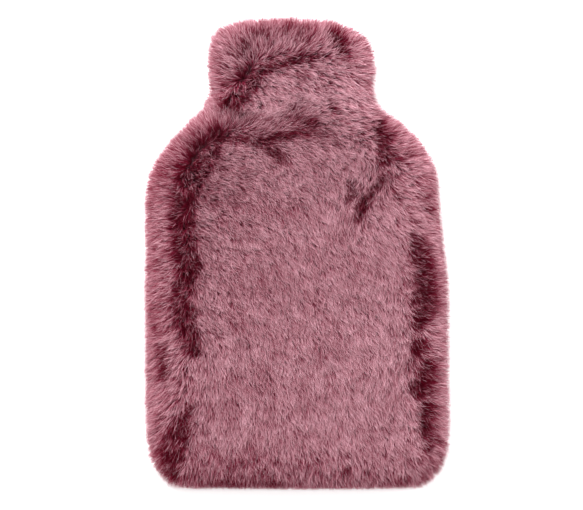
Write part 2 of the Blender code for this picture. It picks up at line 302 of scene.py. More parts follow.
@dataclass(frozen=True)
class Groom:
    """The strokes that the pile is combed along, and the lines where it parts.

    Attributes:
        strokes: The comb's strokes, each as x, y and the way that the pile falls there, in
            degrees from +X.
        partings: The lines where the pile opens and shows its dark lower part.
        reach: How far one stroke holds before its neighbours take over.
        sharpness: How quickly it gives way to them.
    """

    strokes: tuple[tuple[float, float, float], ...] = (
        # The head's rim, where the pile stands out over the edge
        (-5, 177, 90), (-35, 173, 115), (-55, 160, 150), (-63, 145, 175), (-64, 127, 188),
        (-63, 115, 190), (29, 175, 70), (48, 164, 40), (56, 148, -5), (57, 129, -30), (59, 114, -40),
        # The ridge inside it, where the pile still falls outwards
        (-26, 160, 85), (-5, 160, 66), (18, 160, 45), (-40, 152, 125), (-52, 138, 152),
        (-59, 124, 162), (37, 148, -10), (41, 160, 25), (-46, 144, 140),
        # The head's face, which falls to the lower right
        (-22, 137, -22), (-9, 139, -25), (14, 141, -25), (37, 133, -35), (-28, 128, -30),
        (-13, 124, -40), (10, 129, -35), (45, 118, -45), (-44, 114, -42), (-39, 121, -35),
        # The whorl where the neck is drawn in
        (-26, 112, -50), (-5, 110, 32), (3, 104, 30), (16, 113, 12), (29, 104, -40), (22, 95, -30),
        (-43, 102, 35), (-24, 98, 25), (-52, 100, 85), (-57, 104, 120),
        # The left shoulder, combed outwards
        (-70, 96, 130), (-85, 85, 150), (-98, 74, 162), (-108, 57, 172),
        # The band under the neck
        (-47, 86, -30), (-62, 74, -22), (-32, 80, -35), (-13, 68, -55), (3, 84, -42), (-70, 53, -32),
        (-47, 57, -40), (-24, 42, -50),
        # The main face, which falls to the foot
        (18, 64, -60), (37, 80, -60), (52, 95, -52), (45, 109, -48), (58, 80, -80), (62, 63, -95),
        (52, 49, -102), (41, 35, -95), (3, 19, -62), (-51, 19, -45), (-71, 22, -30), (-70, -8, -42),
        (-42, -35, -60), (-71, -46, -45), (3, -35, -65), (41, -4, -62), (73, 11, -66),
        (80, -27, -84), (80, -65, -95), (82, -96, -98), (48, -65, -68), (3, -88, -70),
        (-43, -96, -70), (-70, -84, -72), (-80, -111, -82), (3, -134, -75), (48, -134, -70),
        (87, -130, -76), (-43, -141, -80), (-83, -141, -75), (-81, -163, -90),
        # The left side, combed outwards along a long parting
        (-95, 38, 186), (-108, 15, 192), (-95, 3, 204), (-108, -19, 206), (-95, -31, 218),
        (-108, -58, 210), (-95, -69, 220), (-104, -96, 222), (-95, -107, 235), (-108, -126, 213),
        (-110, -149, 218), (-107, -164, 216), (-95, -173, 236),
        # The foot's edge
        (-58, -177, -92), (3, -178, -86), (64, -177, -75), (98, -169, -52),
        # The right side and shoulder, combed outwards
        (108, -153, -38), (104, -130, -25), (103, -103, -12), (103, -73, -8), (104, -42, -4),
        (104, -16, 0), (100, 7, -18), (97, 30, -36), (102, 49, -30), (90, 68, -15), (79, 84, -5),
        (73, 96, 10), (83, 53, -45), (75, 34, -50), (64, 30, -60), (67, 11, -62),
    )  # fmt: skip
    partings: tuple[Parting, ...] = (
        # The head's
        Parting(1.0, ((-50, 106, 5), (-47, 113, 6.5), (-44, 119, 7.5), (-39, 125.5, 8.5), (-35, 132, 9))),
        Parting(0.95, ((-35, 132, 9), (-29, 139, 5), (-18, 143, 4), (-6, 146, 3.5), (6, 147.5, 3))),
        Parting(0.8, ((6, 147.5, 3), (17, 149, 3))),
        Parting(1.0, ((23, 163, 4.5), (29, 157, 8), (31, 151, 6))),
        Parting(0.5, ((-32, 163, 6), (-20, 162, 8), (-4, 162, 9), (10, 161, 7))),
        Parting(0.7, ((-38, 156, 4.5), (-37, 151, 3.5))),
        Parting(0.6, ((-58, 145, 4), (-53, 145, 4))),
        Parting(0.8, ((38, 144, 3), (41, 144, 3))),
        Parting(0.6, ((-3, 136, 3.5), (3, 134, 3))),
        Parting(0.6, ((-1, 126, 3), (-3, 121, 4))),
        # The neck's, and those across the left shoulder
        Parting(0.8, ((-52, 106, 4), (-40, 105, 4))),
        Parting(0.6, ((-9, 107, 3), (-2, 106, 3))),
        Parting(0.6, ((-10, 99, 3.5), (12, 98, 3))),
        Parting(0.75, ((-62, 87, 5), (-50, 88, 5), (-43, 87, 4.5), (-34, 87, 4), (-25, 86, 3.5))),
        Parting(0.75, ((-25, 86, 3.5), (-14, 87, 3.5), (-6, 90, 4), (4, 92, 4.5), (14, 90, 3))),
        Parting(1.0, ((-34, 85, 4), (-26, 81, 4.5), (-18, 77, 5.5), (-12, 73, 5))),
        Parting(0.55, ((12, 92, 4), (21, 91, 4), (28, 84, 3.5))),
        # Those down the left side
        Parting(0.7, ((-59, 88, 6), (-66, 81, 10), (-71, 72, 14), (-76, 62, 13), (-80, 52, 11))),
        Parting(0.95, ((-81, 52, 10), (-84, 40, 7.5), (-84, 22, 8), (-83, 9, 8.5), (-80, -6, 9.5))),
        Parting(0.95, ((-80, -6, 9.5), (-82, -18, 8), (-85, -36, 9), (-80, -57, 7), (-76, -70, 6))),
        Parting(0.8, ((-94, -68, 5), (-96, -90, 6))),
        Parting(0.3, ((-76, 89, 8), (-90, 71, 10), (-98, 50, 10), (-98, 34, 9))),
        Parting(0.24, ((-98, 34, 9), (-97, 0, 9), (-96, -60, 9))),
        Parting(1.0, ((-78, -110, 4), (-82, -119, 8), (-88, -133, 11), (-92, -146, 11))),
        Parting(1.0, ((-92, -146, 11), (-92, -157, 9), (-92, -166, 6))),
        # Those of the right shoulder and side
        Parting(0.9, ((62, 102, 6), (57, 93, 6), (62, 86, 8), (63, 79, 7), (64, 72, 6))),
        Parting(0.8, ((76, 74, 3), (82, 72, 3))),
        Parting(0.9, ((66, 62, 4), (62, 57, 5), (56, 48, 4.5), (50, 40, 5), (45, 30, 4))),
        Parting(0.6, ((39, 56, 5), (43, 50, 6), (38, 44, 5))),
        Parting(0.6, ((82, 47, 2), (92, 41, 2.5), (99, 31, 3))),
        Parting(0.6, ((94, 50, 3), (90, 46, 3))),
        Parting(1.0, ((83, 16, 3), (86, 9, 6), (88, 0, 9), (91, -10, 10), (92, -20, 10))),
        Parting(1.0, ((92, -20, 10), (91, -30, 12), (91, -41, 12), (88, -50, 6))),
        Parting(0.75, ((88, -60, 5), (91, -66, 8), (89, -72, 6))),
        Parting(1.0, ((93, -80, 6), (92, -88, 8), (89, -95, 8.5), (92, -102, 8))),
        Parting(1.0, ((92, -112, 6), (92, -118, 6), (93, -126, 5), (96, -136, 4.5), (95, -143, 3))),
        # Those along the foot's edge
        Parting(0.75, ((-66, -166, 4), (-38, -166, 5), (-10, -165, 4))),
        Parting(0.45, ((-4, -167, 4), (30, -168, 4), (72, -168, 4))),
        Parting(0.36, ((-84, -163, 30), (88, -163, 30))),
    )
    reach: float = 4.0
    sharpness: float = 2.5

    def falls(self, points: np.ndarray) -> np.ndarray:
        """Works out which way the pile falls at each point.

        Args:
            points: Rows of x and y.

        Returns:
            Flat unit vectors.
        """
        strokes = np.array(self.strokes, float)
        turned = np.radians(strokes[:, 2])
        headings = np.stack([np.cos(turned), np.sin(turned)], axis=1)
        squares = ((points[:, None, :] - strokes[None, :, :2]) ** 2).sum(2)
        fall = 1 / (squares + self.reach**2) ** self.sharpness @ headings
        return fall / np.maximum(np.linalg.norm(fall, axis=1, keepdims=True), 1e-9)

    def openness(self, points: np.ndarray) -> np.ndarray:
        """Returns how far the pile is parted at rows of x and y, from 0 to 1."""
        return np.max([parting.openness(points) for parting in self.partings], axis=0)


# ---- Finishes ----


def new_material(name: str) -> tuple[bpy.types.Material, Callable[..., bpy.types.Node]]:
    """Makes a material with an empty node tree.

    Args:
        name: The material's name.

    Returns:
        The material, and the function that adds nodes to its tree.
    """
    made = bpy.data.materials.new(name)
    made.use_nodes = True
    made.node_tree.nodes.clear()
    return made, partial(add_node, made.node_tree)


@dataclass(frozen=True)
class FauxFurFinish:
    """Modacrylic pile, dyed burgundy and frosted at the tips.

    The fibres are flat and smooth, so the pile has a soft silky gloss. Combed down it looks dusty
    rose, and where it parts it looks burgundy. The finish reads the strand's own map: across it
    is the strand's tone, from deep to pale, and up it runs from root to tip.

    Attributes:
        root: The colour at the backing.
        body: The colour half way up the deepest and the palest strands.
        tip: The frosted tip of the deepest and the palest strands.
        end: The duller very end that every strand fades to.
        rise: Where up the strand the root turns to the body.
        frost: Where the body turns to the tip.
        wear: Where the tip turns to the very end.
        worn: How far it turns.
        roughness: The fibre's roughness.
        gloss: Its specular level, low because so fine a pile scatters its gloss.
    """

    root: str = "#5C0718"
    body: tuple[str, str] = ("#640E22", "#8C2C47")
    tip: tuple[str, str] = ("#8E2C45", "#FACAD5")
    end: str = "#A58D91"
    rise: tuple[float, float] = (0.05, 0.5)
    frost: tuple[float, float] = (0.45, 0.95)
    wear: tuple[float, float] = (0.9, 0.985)
    worn: float = 0.8
    roughness: float = 0.5
    gloss: float = 0.08

    def material(self) -> bpy.types.Material:
        """Builds the finish.

        Returns:
            The material.
        """
        made, add = new_material("frosted_modacrylic_pile")
        strand = add("ShaderNodeSeparateXYZ", add("ShaderNodeUVMap", uv_map=BAKE_MAP)).outputs
        body, tip = (
            add(
                "ShaderNodeMix",
                {"Factor": strand["X"], "A": linear(deep), "B": linear(pale)},
                data_type="RGBA",
            )
            for deep, pale in (self.body, self.tip)
        )
        colour = linear(self.root)
        for (low, high), share, following in (
            (self.rise, 1.0, body),
            (self.frost, 1.0, tip),
            (self.wear, self.worn, linear(self.end)),
        ):
            reached = add(
                "ShaderNodeMapRange",
                {"Value": strand["Y"], "From Min": low, "From Max": high, "To Max": share},
            )
            colour = add(
                "ShaderNodeMix", {"Factor": reached, "A": colour, "B": following}, data_type="RGBA"
            )
        shader = add(
            "ShaderNodeBsdfPrincipled",
            {"Base Color": colour, "Roughness": self.roughness, "Specular IOR Level": self.gloss},
        )
        add("ShaderNodeOutputMaterial", shader)
        return made


@dataclass(frozen=True)
class KnittedBackingFinish:
    """Warp-knitted polyester ground, dyed with the pile: matt and dark, with small even loops.

    Attributes:
        colour: The cloth between the loops.
        raised: The top of a loop.
        loop_pitch: The distance between two loops, in millimetres.
        loop_edge: How far from its middle a loop ends, as a share of the pitch.
        unevenness: How far the loops stray from their rows.
        relief: How far a loop stands out, in millimetres.
        relief_strength: How much of that the light shows.
        roughness: The yarn's roughness.
        bloom: The sheen off the loops' loose fibres.
    """

    colour: str = "#2E0713"
    raised: str = "#541628"
    loop_pitch: float = 1.4
    loop_edge: float = 0.7
    unevenness: float = 0.35
    relief: float = 0.4
    relief_strength: float = 0.8
    roughness: float = 0.85
    bloom: float = 0.1

    def material(self) -> bpy.types.Material:
        """Builds the finish.

        Returns:
            The material.
        """
        made, add = new_material("knitted_polyester_backing")
        place = add("ShaderNodeTexCoord").outputs["Object"]
        pitch = self.loop_pitch * MM
        loops = add(
            "ShaderNodeTexVoronoi", {"Vector": place, "Scale": 1 / pitch, "Randomness": self.unevenness}
        ).outputs["Distance"]
        height = add(
            "ShaderNodeMapRange",
            {"Value": loops, "From Max": self.loop_edge, "To Min": 1.0, "To Max": 0.0},
        )
        colour = add(
            "ShaderNodeMix",
            {"Factor": height, "A": linear(self.colour), "B": linear(self.raised)},
            data_type="RGBA",
        )
        bump = add(
            "ShaderNodeBump",
            {"Height": height, "Distance": self.relief * MM, "Strength": self.relief_strength},
        )
        shader = add(
            "ShaderNodeBsdfPrincipled",
            {
                "Base Color": colour, "Roughness": self.roughness, "Normal": bump,
                "Sheen Weight": self.bloom,
            },
        )  # fmt: skip
        add("ShaderNodeOutputMaterial", shader)
        return made


@dataclass(frozen=True)
class TableFinish:
    """A white laminate light table.

    It is even and matt, and lit a little from inside, so no shadow worth seeing falls on it.

    Attributes:
        colour: The laminate's colour.
        roughness: Its roughness.
        glow: How strongly it is lit from inside.
    """

    colour: str = "#F7F5F5"
    roughness: float = 0.7
    glow: float = 0.5

    def material(self) -> bpy.types.Material:
        """Builds the finish.

        Returns:
            The material.
        """
        made, add = new_material("white_light_table")
        colour = linear(self.colour)
        shader = add(
            "ShaderNodeBsdfPrincipled",
            {
                "Base Color": colour, "Roughness": self.roughness, "Emission Color": colour,
                "Emission Strength": self.glow,
            },
        )  # fmt: skip
        add("ShaderNodeOutputMaterial", shader)
        return made


# ---- The pile ----


@dataclass(frozen=True)
class PileSize:
    """The sizes of a pile, in millimetres and degrees.

    Attributes:
        strands_per_mm2: How densely the strands stand.
        width: A strand's width near its root.
        tuft: The spacing of the fine tufts that the tips draw together in.
        tuft_pull: How far they draw together, from 0 to 1.
        lock: The spacing of the larger locks, where the pile is ruffled.
        lock_pull: How far the pile draws together in them.
        stray: How far single strands turn away from the fall.
        sway: How far the fall itself wanders.
        lean: How far the lift wanders.
        foot: The y that the cover stood on, which pressed the pile flat there.
        seed: The seed of everything random in the pile.
    """

    strands_per_mm2: float = 2.7
    width: float = 0.33
    tuft: float = 1.3
    tuft_pull: float = 0.5
    lock: float = 4.0
    lock_pull: float = 0.7
    stray: float = 20.0
    sway: float = 28.0
    lean: float = 9.0
    foot: float = -180.2
    seed: int = 11

    def inputs(self, band: tuple[float, float] = EVERYWHERE) -> dict[str, float]:
        """Works out the inputs of the pile's node tree, in metres and radians.

        Args:
            band: The lowest and highest y that roots may have, in millimetres.

        Returns:
            Each input's value, by its name.
        """
        low, high = band
        return {
            "Strands per square metre": self.strands_per_mm2 / MM**2,
            "Strand width": self.width * MM,
            "Tuft spacing": self.tuft * MM,
            "Tuft pull": self.tuft_pull,
            "Lock spacing": self.lock * MM,
            "Lock pull": self.lock_pull,
            "Stray angle": math.radians(self.stray),
            "Sway angle": math.radians(self.sway),
            "Lean angle": math.radians(self.lean),
            "Foot": self.foot * MM,
            "Band middle": (low + high) / 2 * MM,
            "Band half length": (high - low) / 2 * MM,
        }


class Cells(NamedTuple):
    """The tufts or the locks that the pile is divided into, as a strand sees its own.

    Attributes:
        middle: The middle of the strand's cell.
        shared: Three numbers from -0.5 to 0.5 that a cell's strands share.
    """

    middle: bpy.types.NodeSocket
    shared: bpy.types.bpy_prop_collection


class PileTree:
    """The node tree that grows a pile of flat tapered strands out of a scalp.

    The scalp's points carry where the pile stands and how: pile_grow is the way out of the
    cloth, pile_fall the way that it is combed, pile_length its length, pile_root and pile_tip
    its lift off the cloth at both ends, pile_ruffle how loose it is, pile_gather how far it
    draws together, pile_tone how pale it is, pile_open how far it is parted, and pile_frost how
    much further down its pale tips reach.
    """

    FIELDS = {
        **dict.fromkeys(("grow", "fall"), "FLOAT_VECTOR"),
        **dict.fromkeys(("length", "root", "tip", "ruffle", "gather", "tone", "open", "frost"), "FLOAT"),
    }

    # What differs from strand to strand, as the least and the most
    CHANCES = {
        "stray": (-1.0, 1.0), "short": (0.0, 1.0), "length": (-0.38, 0.15), "tone": (-0.3, 0.3),
        "lift": (-0.2, 0.2), "twist": (-1.0, 1.0), "curl": (-0.2, 0.2), "keep": (0.0, 1.0),
        "rest": (0.0004, 0.002),
    }  # fmt: skip

    # The smooth unevenness of the pile: features to a metre and finer detail
    NOISE_GAIN = 4.0  # brings the noise to about -1 to 1
    SWAY = (120.0, 2.0)  # the fall and the lift wander over about 8 mm
    BLOTCH = (80.0, 3.0)  # tone and partings are blotchy over about 12 mm
    STREAK = (260.0, 1.0)  # streaks are about 4 mm wide
    STREAK_STEPS = (-0.006, -0.003, 0.0, 0.003, 0.006)  # and smeared this far along the fall

    # The underfur: its share of the strands, and how much shorter and darker it is
    UNDERFUR, SHORTER, DARKER = 0.36, 0.15, 0.6

    # How far a strand goes its own way: always, more in a parting and less where ruffled; and
    # how far the fall's own wandering shows on the walls and, more, on the crown
    LOOSE = {"parted": 2.0, "ruffled": -0.5}
    STEADY = {"wall": 0.45, "crown": 0.55}
    TURN = {"tuft": 0.5, "lock": 0.6}  # how far tufts and locks turn, in radians

    # What makes an edge of a parting ragged, and how much of that a full parting keeps
    RAGGED = {"blotch": 0.4, "streak": 0.9, "kept": -0.6}
    RAGGED_EDGE = (0.25, 0.75)

    # What lies across a parting unopened: tufts and locks whose shared number is lower than
    # this, a share of the strands, and how much of such a lock
    KEPT = {"tuft": -0.37, "lock": -0.42, "strand": 0.15}
    KEPT_LOCK = 0.75

    LENGTH = {"calm": 0.45, "ruffled": 0.55}  # how much of the chance in length shows
    TONE = {"blotch": 0.25, "parted": -0.4, "open": -0.15}  # what makes the pile paler or deeper
    RUFFLED_TONE = {"chance": 1.1, "tuft": 0.7, "streak": -0.35}
    RUFFLED_LIFT = {"tuft": 0.3, "streak": 0.3}  # in radians
    TUFTED = {"calm": 0.55, "ruffled": 0.45}  # how much of the tufts' pull shows
    TUFTED_OPEN = 0.5  # how much of the tufts' pull a full parting keeps
    WIDTH = {"calm": 0.95, "ruffled": 0.3}  # shares of the strand's width
    HIDDEN = {"parted": 0.6, "open": 0.12}  # how much of the frosted ends a parting hides
    PARTED_LIFT = math.radians(26)  # how much steeper a parted strand stands

    # The plain strand is a strip 1 long, about its middle. The points past TIP_FROM are its
    # end, and are moved onto each other, so that they merge and leave three triangles.
    TIP_FROM, TIP_MERGE = 0.49, 0.01
    TRIANGLES = 3
    LEAST_BEND = 0.05  # in radians, because a straight strand's arc has no radius
    TAPER = 0.6  # how much narrower a strand gets before its point
    PULL_POWER = 1.5  # how quickly strands draw together towards the tip
    FOOT_RAGGED = 0.6  # how much of its rest height each strand keeps from the foot
    MAP_MARGIN = 0.01  # keeps the map clear of its own edges
    TONE_SPREAD = 0.006  # a strand's width on the map

    def __init__(self) -> None:
        """Builds the tree."""
        self.tree = bpy.data.node_groups.new("grow_pile", "GeometryNodeTree")
        face = self.tree.interface
        sizes = dict.fromkeys(PileSize().inputs(), "Float")
        for name, kind in {"Scalp": "Geometry", **sizes, "Seed": "Int", "Finish": "Material"}.items():
            face.new_socket(name, in_out="INPUT", socket_type=f"NodeSocket{kind}")
        face.new_socket("Pile", in_out="OUTPUT", socket_type="NodeSocketGeometry")
        self.add = partial(add_node, self.tree)
        self.given = self.add("NodeGroupInput").outputs
        self.place = self.add("GeometryNodeInputPosition")
        root = self._carry(self._scatter(), self._groomed())
        ribbon = self._ribbon()
        strands = self.add(
            "GeometryNodeInstanceOnPoints",
            {"Points": root["Geometry"], "Instance": ribbon["Geometry"]},
        )
        plain = self.add("GeometryNodeRealizeInstances", strands)
        shaped = self._shape(plain, root, ribbon)
        finished = self.add(
            "GeometryNodeSetMaterial", {"Geometry": shaped, "Material": self.given["Finish"]}
        )
        self.add("NodeGroupOutput", {"Pile": finished})

    def _sum(self, base: Any, *products: tuple[Any, Any]) -> Any:
        """Adds up a base and products of two values.

        Args:
            base: The value that the sum starts from.
            *products: Pairs of values, each multiplied and added.

        Returns:
            The sum's last node.
        """
        for first, second in products:
            base = self.add("ShaderNodeMath", first, second, base, operation="MULTIPLY_ADD")
        return base

    def _blend(self, *terms: tuple[Any, Any]) -> Any:
        """Adds up vectors, each scaled by a number.

        Args:
            *terms: Pairs of a vector and its number.

        Returns:
            The sum's last node.
        """
        total = None
        for vector, weight in terms:
            scaled = self.add("ShaderNodeVectorMath", {0: vector, "Scale": weight}, operation="SCALE")
            total = scaled if total is None else self.add(
                "ShaderNodeVectorMath", total, scaled, operation="ADD"
            )
        return total

    def _unevenness(
        self, kind: tuple[float, float], fall: Any, steps: tuple[float, ...] = (0.0,)
    ) -> Any:
        """Makes three smooth random numbers, smeared along the fall.

        Args:
            kind: How many features there are to a metre, and their finer detail.
            fall: The way that the pile is combed.
            steps: The distances along the fall over which they are smeared.

        Returns:
            Outputs X, Y and Z, each from about -1 to 1.
        """
        scale, detail = kind
        noises = []
        for step in steps:
            at = self._blend((self.place, 1.0), (fall, step)) if step else self.place
            noise = self.add("ShaderNodeTexNoise", {"Vector": at, "Scale": scale, "Detail": detail})
            noises.append((noise.outputs["Color"], self.NOISE_GAIN / len(steps)))
        half = (self.NOISE_GAIN / 2,) * 3
        centred = self.add("ShaderNodeVectorMath", self._blend(*noises), half, operation="SUBTRACT")
        return self.add("ShaderNodeSeparateXYZ", centred).outputs

    def _cells(self, spacing: bpy.types.NodeSocket) -> Cells:
        """Divides the pile into cells.

        Args:
            spacing: How far apart they are.

        Returns:
            The cells.
        """
        scale = self.add("ShaderNodeMath", 1.0, spacing, operation="DIVIDE")
        cells = self.add("ShaderNodeTexVoronoi", {"Vector": self.place, "Scale": scale}).outputs
        centred = self.add(
            "ShaderNodeVectorMath", cells["Color"], (0.5, 0.5, 0.5), operation="SUBTRACT"
        )
        return Cells(cells["Position"], self.add("ShaderNodeSeparateXYZ", centred).outputs)

    def _along_cloth(self, vector: Any, grow: Any) -> Any:
        """Takes the part of a vector that runs along the cloth.

        Args:
            vector: The vector.
            grow: The way out of the cloth.

        Returns:
            The node that ends with that part.
        """
        height = self.add("ShaderNodeVectorMath", vector, grow, operation="DOT_PRODUCT")
        upright = self._blend((grow, height.outputs["Value"]))
        return self.add("ShaderNodeVectorMath", vector, upright, operation="SUBTRACT")

    def _scatter(self) -> bpy.types.Node:
        """Scatters the roots over the scalp and keeps those of the wanted band.

        Returns:
            The node that ends with them.
        """
        given = self.given
        density = given["Strands per square metre"]
        scattered = self.add(
            "GeometryNodeDistributePointsOnFaces",
            {"Mesh": given["Scalp"], "Density": density, "Seed": given["Seed"]},
        ).outputs["Points"]
        level = self.add("ShaderNodeSeparateXYZ", self.place).outputs["Y"]
        band = self.add(
            "ShaderNodeMath", level, given["Band middle"], given["Band half length"], operation="COMPARE"
        )
        outside = self.add("ShaderNodeMath", 1.0, band, operation="SUBTRACT")
        return self.add(
            "GeometryNodeDeleteGeometry", {"Geometry": scattered, "Selection": outside}, domain="POINT"
        )

    def _groomed(self) -> dict[str, Any]:
        """Settles, for each root, how its strand goes.

        Returns:
            What the strand's points will read, by name.
        """
        add, total, given = self.add, self._sum, self.given
        pile = {
            name: add("GeometryNodeInputNamedAttribute", {"Name": f"pile_{name}"}, data_type=kind)
            for name, kind in self.FIELDS.items()
        }
        chance = {
            name: add(
                "FunctionNodeRandomValue", {"Min": low, "Max": high, "Seed": seed}, data_type="FLOAT"
            )
            for seed, (name, (low, high)) in enumerate(self.CHANCES.items())
        }
        wander, blotch = (self._unevenness(kind, pile["fall"]) for kind in (self.SWAY, self.BLOTCH))
        streak = self._unevenness(self.STREAK, pile["fall"], self.STREAK_STEPS)
        tuft, lock = (self._cells(given[name]) for name in ("Tuft spacing", "Lock spacing"))
        grow = add("ShaderNodeVectorMath", pile["grow"], operation="NORMALIZE")
        ruffle, gather, opening = pile["ruffle"], pile["gather"], pile["open"]
        closed = total(1.0, (opening, -1.0))
        short = add("ShaderNodeMath", chance["short"], self.UNDERFUR, operation="LESS_THAN")
        parted = self._parted(opening, ruffle, blotch, streak, tuft, lock, chance["keep"])

        loose = total(1.0, (opening, self.LOOSE["parted"]), (ruffle, self.LOOSE["ruffled"]))
        steady = total(self.STEADY["wall"], (gather, self.STEADY["crown"]))
        clumped = total(
            0.0, (tuft.shared["X"], self.TURN["tuft"]), (lock.shared["X"], self.TURN["lock"])
        )
        turn = total(
            0.0,
            (total(0.0, (wander["X"], given["Sway angle"])), steady),
            (total(0.0, (chance["stray"], given["Stray angle"])), loose),
            (clumped, ruffle),
        )
        turned = add("ShaderNodeVectorRotate", {"Vector": pile["fall"], "Axis": grow, "Angle": turn})
        fall = add("ShaderNodeVectorMath", self._along_cloth(turned, grow), operation="NORMALIZE")

        uneven = total(self.LENGTH["calm"], (ruffle, self.LENGTH["ruffled"]))
        length = total(1.0, (chance["length"], uneven), (short, -self.SHORTER))

        ruffled_tone = total(
            0.0,
            (chance["tone"], self.RUFFLED_TONE["chance"]),
            (tuft.shared["X"], self.RUFFLED_TONE["tuft"]),
            (streak["X"], self.RUFFLED_TONE["streak"]),
        )
        tone = total(
            pile["tone"],
            (chance["tone"], 1.0),
            (ruffled_tone, ruffle),
            (blotch["X"], self.TONE["blotch"]),
            (short, -self.DARKER),
            (parted, self.TONE["parted"]),
            (opening, self.TONE["open"]),
        )
        hidden = self.HIDDEN
        shown = total(
            1.0, (pile["frost"], 1.0), (parted, -hidden["parted"]), (opening, -hidden["open"])
        )

        locked = total(0.0, (ruffle, gather))
        clumped = total(
            0.0,
            (tuft.shared["Y"], self.RUFFLED_LIFT["tuft"]),
            (streak["Y"], self.RUFFLED_LIFT["streak"]),
        )
        lift = total(
            pile["tip"],
            (wander["Y"], given["Lean angle"]),
            (chance["lift"], 1.0),
            (clumped, locked),
            (total(0.0, (parted, gather)), self.PARTED_LIFT),
        )
        tufted = total(0.0, (gather, total(self.TUFTED["calm"], (ruffle, self.TUFTED["ruffled"]))))
        kept = total(self.TUFTED_OPEN, (closed, 1 - self.TUFTED_OPEN))
        pulls = []
        for cells, pull, by in (
            (tuft, given["Tuft pull"], total(0.0, (tufted, kept))),
            (lock, given["Lock pull"], total(0.0, (locked, closed))),
        ):
            away = add("ShaderNodeVectorMath", cells.middle, self.place, operation="SUBTRACT")
            pulls.append((self._along_cloth(away, grow), total(0.0, (pull, by))))
        return {
            "Root": self.place,
            "Grow": grow,
            "Fall": fall,
            "Pull": self._blend(*pulls),
            "Length": total(0.0, (pile["length"], length)),
            "Root lift": pile["root"],
            "Tip lift": lift,
            "Twist": chance["twist"],
            "Curl": chance["curl"],
            "Shown": shown,
            "Tone": add("ShaderNodeClamp", tone),
            "Rest": chance["rest"],
            "Width": total(self.WIDTH["calm"], (ruffle, self.WIDTH["ruffled"])),
        }

    def _parted(
        self, opening: Any, ruffle: Any, blotch: Any, streak: Any, tuft: Cells, lock: Cells, keep: Any
    ) -> Any:
        """Settles how far each strand is parted: the partings are ragged, and tufts lie across.

        Args:
            opening: How far the groom parts the pile here.
            ruffle: How loose the pile is.
            blotch: The pile's blotchiness.
            streak: Its streaks.
            tuft: Its tufts.
            lock: Its locks.
            keep: The strand's chance to stay.

        Returns:
            The last node, from 0, closed, to 1.
        """
        total = self._sum
        ragged = total(
            0.0,
            (blotch["Y"], self.RAGGED["blotch"]),
            (streak["X"], total(0.0, (ruffle, self.RAGGED["streak"]))),
        )
        uneven = total(opening, (ragged, total(1.0, (opening, self.RAGGED["kept"]))))
        low, high = self.RAGGED_EDGE
        parted = self.add(
            "ShaderNodeMapRange",
            {"Value": uneven, "From Min": low, "From Max": high},
            interpolation_type="SMOOTHSTEP",
        )
        for value, least, share in (
            (tuft.shared["Z"], self.KEPT["tuft"], 1.0),
            (lock.shared["Z"], self.KEPT["lock"], self.KEPT_LOCK),
            (keep, self.KEPT["strand"], 1.0),
        ):
            kept = self.add("ShaderNodeMath", value, least, operation="LESS_THAN")
            parted = total(0.0, (parted, total(1.0, (kept, -share))))
        return parted

    def _carry(self, points: bpy.types.Node, values: dict[str, Any]) -> Any:
        """Captures values on points.

        Args:
            points: The node whose points carry them.
            values: The values by name.

        Returns:
            The capturing node's outputs.
        """
        kept = self.add("GeometryNodeCaptureAttribute", {"Geometry": points}, domain="POINT")
        for name, value in values.items():
            output = first_output(value)
            kept.capture_items.new("VECTOR" if output.type == "VECTOR" else "FLOAT", name)
            self.tree.links.new(output, kept.inputs[name])
        return kept.outputs

    def _ribbon(self) -> Any:
        """Makes the plain strand, a strip of two faces of which the last is a point.

        Returns:
            The outputs that carry it, how far across it a point is, and how far up.
        """
        strip = self.add(
            "GeometryNodeMeshGrid", {"Size X": 1.0, "Size Y": 1.0, "Vertices X": 2, "Vertices Y": 3}
        ).outputs["Mesh"]
        along = self.add("ShaderNodeSeparateXYZ", self.place).outputs
        tip = self.add("ShaderNodeMath", along["Y"], self.TIP_FROM, operation="GREATER_THAN")
        middle = self.add("ShaderNodeVectorMath", self.place, (0.0, 1.0, 1.0), operation="MULTIPLY")
        centred = self.add(
            "GeometryNodeSetPosition", {"Geometry": strip, "Selection": tip, "Position": middle}
        )
        pointed = self.add(
            "GeometryNodeMergeByDistance", {"Geometry": centred, "Distance": self.TIP_MERGE}
        )
        return self._carry(pointed, {"Across": along["X"], "Along": self._sum(0.5, (along["Y"], 1.0))})

